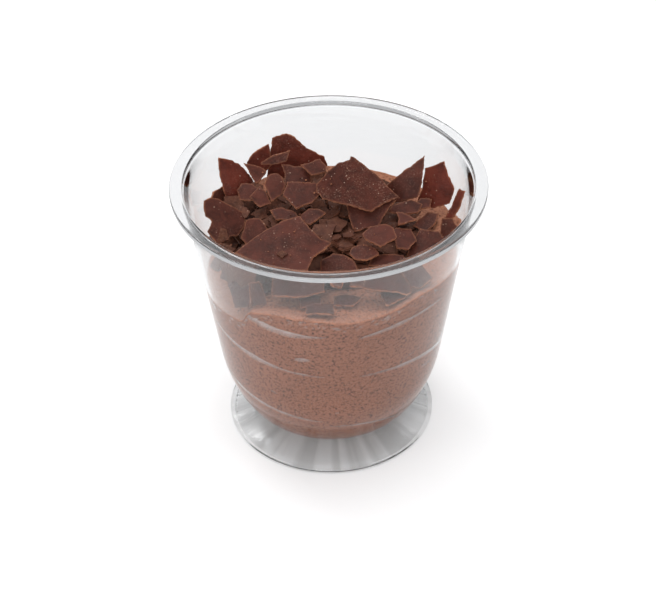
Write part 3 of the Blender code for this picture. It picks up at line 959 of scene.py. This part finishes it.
# Small flakes that fill the openings at the left: the middle in mm, the bearing that the face
# turns to and its lean in degrees, and the width in mm. A chip lies on the large flake in front.
FILLERS = (
    ((-24.5, -17.8, 60.6), 232, 50, 7.0),
    ((-27.2, -13.6, 60.4), 215, 55, 7.0),
    ((-20.5, -20.4, 61.0), 250, 45, 6.5),
    ((-24.5, 9.5, 61.5), 290, 35, 6.5),
    ((-22.0, 5.5, 62.0), 265, 25, 6.0),
    ((-26.5, 6.5, 60.5), 300, 40, 6.0),
    ((-19.5, 13.0, 62.5), 270, 30, 6.0),
    ((-27.0, -7.0, 58.5), 250, 30, 7.0),
    ((-25.0, -11.5, 58.0), 245, 30, 7.0),
    ((-22.5, -13.5, 59.0), 240, 35, 6.0),
    ((-28.0, -2.0, 59.5), 230, 40, 6.0),
)
FILLER_THICKNESS = 0.55
CHIP_PLACE = (-11.7, -16.7)
CHIP_WIDTH = 3.0


def leaning(place, facing, lean, spin):
    """The matrix that leans a flat piece towards a bearing, in degrees, and puts it in its place."""
    return (
        Matrix.Translation(place) @ Matrix.Rotation(math.radians(facing + 90), 4, "Z")
        @ Matrix.Rotation(math.radians(lean), 4, "X") @ Matrix.Rotation(math.radians(spin), 4, "Z")
    )


def sunk_core():
    """The heap's solid, lower and smaller, with a lumpy surface."""
    bm = merged_copy("flake_heap")
    for vert in bm.verts:
        vert.co.x *= 0.95
        vert.co.y *= 0.95
        if vert.co.y < FRONT_OF_HEAP:
            vert.co.y = lerp(FRONT_OF_HEAP, vert.co.y, 0.25)
        spare = vert.co.z - mousse_top(vert.co.x, vert.co.y) - 0.9
        vert.co.z -= clamp(spare, 0, CORE_SINK)
    bmesh.ops.subdivide_edges(bm, edges=bm.edges[:], cuts=2, use_grid_fill=True)
    bmesh.ops.triangulate(bm, faces=bm.faces[:])
    for vert in bm.verts:
        vert.co += Vector((0, 0, 0.35)) * noise.noise(vert.co / 1.6)
    paint_broken(bm, CORE_BROKEN)
    return bm


def room_above(tree, hit, width):
    """The free height over a flake of this width that lies here."""
    room = 12.0
    for dx, dy in ((0, 0), (0.4, 0), (-0.4, 0), (0, 0.4), (0, -0.4)):
        start = hit + Vector((dx * width, dy * width, -1.0))
        roof = tree.ray_cast(start, UP, 20)[0]
        if roof is not None:
            room = min(room, roof.z - hit.z)
    return room


def scatter(joined, rng, count, heap, above):
    """Lay small flakes over the heap wherever the large flakes leave room."""
    made = 0
    for _ in range(MOST_TRIES):
        if made == count:
            break
        angle = rng.uniform(0, math.tau)
        radius = HEAP_RADIUS * math.sqrt(rng.random())
        x, y = radius * math.cos(angle), radius * math.sin(angle)
        hit = heap.ray_cast(Vector((x, y, ABOVE_ALL)), DOWN)[0]
        if hit is None or y < FRONT_OF_HEAP:
            continue
        width = rng.choice(FLAKE_WIDTHS) * rng.uniform(0.85, 1.15)
        room = room_above(above, hit, width)
        if room < 0.6:
            continue
        steepest = math.degrees(math.atan2(room * 0.8, width)) * 1.2
        lean = min(rng.uniform(6, 46), steepest)
        rise = min(rng.uniform(-0.6, 1.2), room * 0.5)
        facing = rng.gauss(265, 45) if rng.random() < 0.65 else rng.uniform(0, 360)
        matrix = leaning(Vector((x, y, hit.z + rise)), facing, lean, rng.uniform(0, 360))
        append(joined, small_flake(rng, width, rng.uniform(0.3, 0.5)), matrix)
        made += 1


class DESSERT_OT_small_flakes(bpy.types.Operator):
    """Lay the small broken flakes over a smaller core."""

    bl_idname = "dessert.small_flakes"
    bl_label = "Small flakes"

    def execute(self, context):
        settings = context.scene.dessert.chocolate
        # Painted shade: the small flakes and the core are darkened, for the shade in the heap under
        # the large flakes.
        paint = chocolate_paint("dark_chocolate_small_shaded", settings, rough=0.15, shaded_tone=0.55)
        core = new_object("heap_core", sunk_core(), paint, smooth_shade=False)
        rng = random.Random(41)
        above = packed_tree(shard_names())
        heap = packed_tree(["flake_heap"])
        joined = bmesh.new()
        joined.verts.layers.float.new("broken")
        scatter(joined, rng, settings.small_flakes, heap, above)
        for place, facing, lean, width in FILLERS:
            filler = small_flake(rng, width, FILLER_THICKNESS)
            append(joined, filler, leaning(place, facing, lean, rng.uniform(0, 360)))
        hit, normal, _, _ = above.ray_cast(Vector((*CHIP_PLACE, ABOVE_ALL)), DOWN)
        flat_on = normal.to_track_quat("Z", "Y").to_matrix().to_4x4()
        chip = small_flake(rng, CHIP_WIDTH, FILLER_THICKNESS)
        append(joined, chip, Matrix.Translation(hit + normal * 0.3) @ flat_on)
        flakes = new_object("small_flakes", joined, paint, smooth_shade=False)
        for piece in (core, flakes):
            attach(piece, "root")
            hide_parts("flake_heap")
        return {"FINISHED"}


# ---------------------------------------------------------------- crumbs

# How far out the crumbs fall, their sizes in mm, and how steep a face still holds one
CRUMB_RADIUS = 29
CRUMB_SIZES = (0.16, 0.2, 0.26, 0.34, 0.5)
FLAT_ENOUGH = 0.35


def crumb_of(rng, size):
    """One uneven crumb about its own centre, as a bmesh in mm."""
    bm = bmesh.new()
    bmesh.ops.create_icosphere(bm, subdivisions=1, radius=size / 2)
    for vert in bm.verts:
        vert.co *= rng.uniform(0.6, 1.25)
        vert.co.z *= 0.7
    paint_broken(bm, rng.uniform(0.1, 1.0))
    return bm


class DESSERT_OT_crumbs(bpy.types.Operator):
    """Scatter fine crumbs over the flakes."""

    bl_idname = "dessert.crumbs"
    bl_label = "Crumbs"

    def execute(self, context):
        settings = context.scene.dessert.chocolate
        ground = packed_tree(shard_names() + ["flake_heap"])
        rng = random.Random(7)
        joined = bmesh.new()
        joined.verts.layers.float.new("broken")
        for _ in range(settings.crumbs):
            angle = rng.uniform(0, math.tau)
            radius = CRUMB_RADIUS * math.sqrt(rng.random())
            x, y = radius * math.cos(angle), radius * math.sin(angle)
            hit, normal, _, _ = ground.ray_cast(Vector((x, y, ABOVE_ALL)), DOWN)
            if hit is None or normal.z < FLAT_ENOUGH:
                continue
            size = rng.choice(CRUMB_SIZES) * rng.uniform(0.8, 1.3)
            crumb = crumb_of(rng, size)
            spin = Matrix.Rotation(rng.uniform(0, math.tau), 4, "Z")
            append(joined, crumb, Matrix.Translation(hit + normal * size * 0.2) @ spin)
        paint = chocolate_paint("dark_chocolate_crumbs", settings, rough=1.0)
        crumbs = new_object("chocolate_crumbs", joined, paint, smooth_shade=False)
        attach(crumbs, "root")
        return {"FINISHED"}


# ---------------------------------------------------------------- stage


# Soft rectangular lights: the place and the size in metres, and the share of the light power
LIGHTS = {
    "overhead": ((0.0, 0.10, 0.95), (1.0, 0.9), 0.55),
    "key": ((-0.32, 0.40, 0.80), (0.34, 0.34), 0.18),
    "front": ((-0.15, -1.05, 0.62), (0.9, 0.5), 0.62),
    "left": ((-0.85, -0.30, 0.45), (0.12, 0.6), 0.07),
    "right": ((0.85, -0.30, 0.45), (0.12, 0.6), 0.07),
}
LIGHTS_AIM = Vector((0, 0, 0.04))
WORLD_COLOUR = (0.97, 0.98, 1.0)
WORLD_STRENGTH = 0.66

# The point that the camera turns about, its roll in degrees, and its shift as shares of the width
CAMERA_AIM = Vector((0, 0, 0.038))
CAMERA_ROLL = -0.75
CAMERA_SHIFT = (-0.0032, -0.0008)


def area_light(name, place, size, power):
    """A soft rectangular light that points at the cup."""
    light = bpy.data.lights.new(name, "AREA")
    light.shape = "RECTANGLE"
    light.size, light.size_y = size
    light.energy = power
    obj = bpy.data.objects.new(name, light)
    obj.location = place
    obj.rotation_euler = (LIGHTS_AIM - Vector(place)).to_track_quat("-Z", "Y").to_euler()
    bpy.context.scene.collection.objects.link(obj)


def white_paper(settings):
    """Matt white paper that glows a little by itself."""
    nodes = Nodes("white_paper")
    shader = nodes.shader
    fibre = nodes.noise(400, detail=3)
    nodes.join(nodes.mix(fibre, (0.90, 0.90, 0.90), (0.92, 0.92, 0.92)), shader.inputs["Base Color"])
    shader.inputs["Roughness"].default_value = 0.9
    shader.inputs["Emission Color"].default_value = (1, 1, 1, 1)
    shader.inputs["Emission Strength"].default_value = settings.floor_glow
    shader.inputs["Specular IOR Level"].default_value = 0.0
    return nodes.material


def place_camera(scene, settings):
    """Set the camera in front of the cup, looking down at it."""
    camera = bpy.data.cameras.new("camera")
    camera.lens = settings.lens
    camera.sensor_width = 36.0
    camera.shift_x, camera.shift_y = CAMERA_SHIFT
    camera.clip_start = 0.01
    tilt = settings.elevation
    back = Vector((0, -math.cos(tilt), math.sin(tilt))) * settings.distance
    turn = Matrix.Rotation(math.pi / 2 - tilt, 4, "X")
    roll = Matrix.Rotation(math.radians(CAMERA_ROLL), 4, "Z")
    obj = bpy.data.objects.new("camera", camera)
    obj.matrix_world = Matrix.Translation(CAMERA_AIM + back) @ (turn @ roll)
    scene.collection.objects.link(obj)
    scene.camera = obj


class DESSERT_OT_stage(bpy.types.Operator):
    """Set the white floor, the soft lights and the camera."""

    bl_idname = "dessert.stage"
    bl_label = "Stage"

    def execute(self, context):
        settings = context.scene.dessert.stage
        scene = context.scene
        scene.view_settings.view_transform = "Standard"
        bm = bmesh.new()
        bmesh.ops.create_grid(bm, x_segments=8, y_segments=8, size=settings.floor_size / 2 / MM)
        floor = new_object("floor", bm, white_paper(settings))
        world = bpy.data.worlds.new("studio")
        world.use_nodes = True
        background = world.node_tree.nodes["Background"]
        background.inputs["Color"].default_value = (*WORLD_COLOUR, 1)
        background.inputs["Strength"].default_value = WORLD_STRENGTH
        scene.world = world
        for name, (place, size, share) in LIGHTS.items():
            area_light(name, place, size, settings.light_power * share)
        place_camera(scene, settings)
        return {"FINISHED"}


# ---------------------------------------------------------------- panel and registration


class DESSERT_PT_pieces(bpy.types.Panel):
    """The pieces, in the order in which they are made."""

    bl_label = "Chocolate mousse"
    bl_idname = "DESSERT_PT_pieces"
    bl_space_type = "VIEW_3D"
    bl_region_type = "UI"
    bl_category = "Dessert"

    def draw(self, context):
        """List the operators, then every setting."""
        for operator in OPERATORS:
            self.layout.operator(operator.bl_idname)
        settings = context.scene.dessert
        for group in (settings.cup, settings.mousse, settings.chocolate, settings.stage):
            box = self.layout.box()
            for key in group.bl_rna.properties.keys():
                if key not in ("rna_type", "name"):
                    box.prop(group, key)


OPERATORS = (
    DESSERT_OT_cup,
    DESSERT_OT_mousse,
    DESSERT_OT_large_flakes,
    DESSERT_OT_small_flakes,
    DESSERT_OT_crumbs,
    DESSERT_OT_stage,
)

CLASSES = (
    CupSettings, MousseSettings, ChocolateSettings, StageSettings, DessertSettings,
    *OPERATORS, DESSERT_PT_pieces,
)


def register():
    """Make the settings, the operators and the panel known."""
    for each in CLASSES:
        bpy.utils.register_class(each)
    bpy.types.Scene.dessert = PointerProperty(type=DessertSettings)


def unregister():
    """Take them away again."""
    del bpy.types.Scene.dessert
    for each in reversed(CLASSES):
        bpy.utils.unregister_class(each)


def main():
    """Build the dessert and its stage."""
    register()
    bpy.ops.dessert.cup()
    bpy.ops.dessert.mousse()
    bpy.ops.dessert.large_flakes()
    bpy.ops.dessert.small_flakes()
    bpy.ops.dessert.crumbs()
    bpy.ops.dessert.stage()


if __name__ == "__main__":
    main()
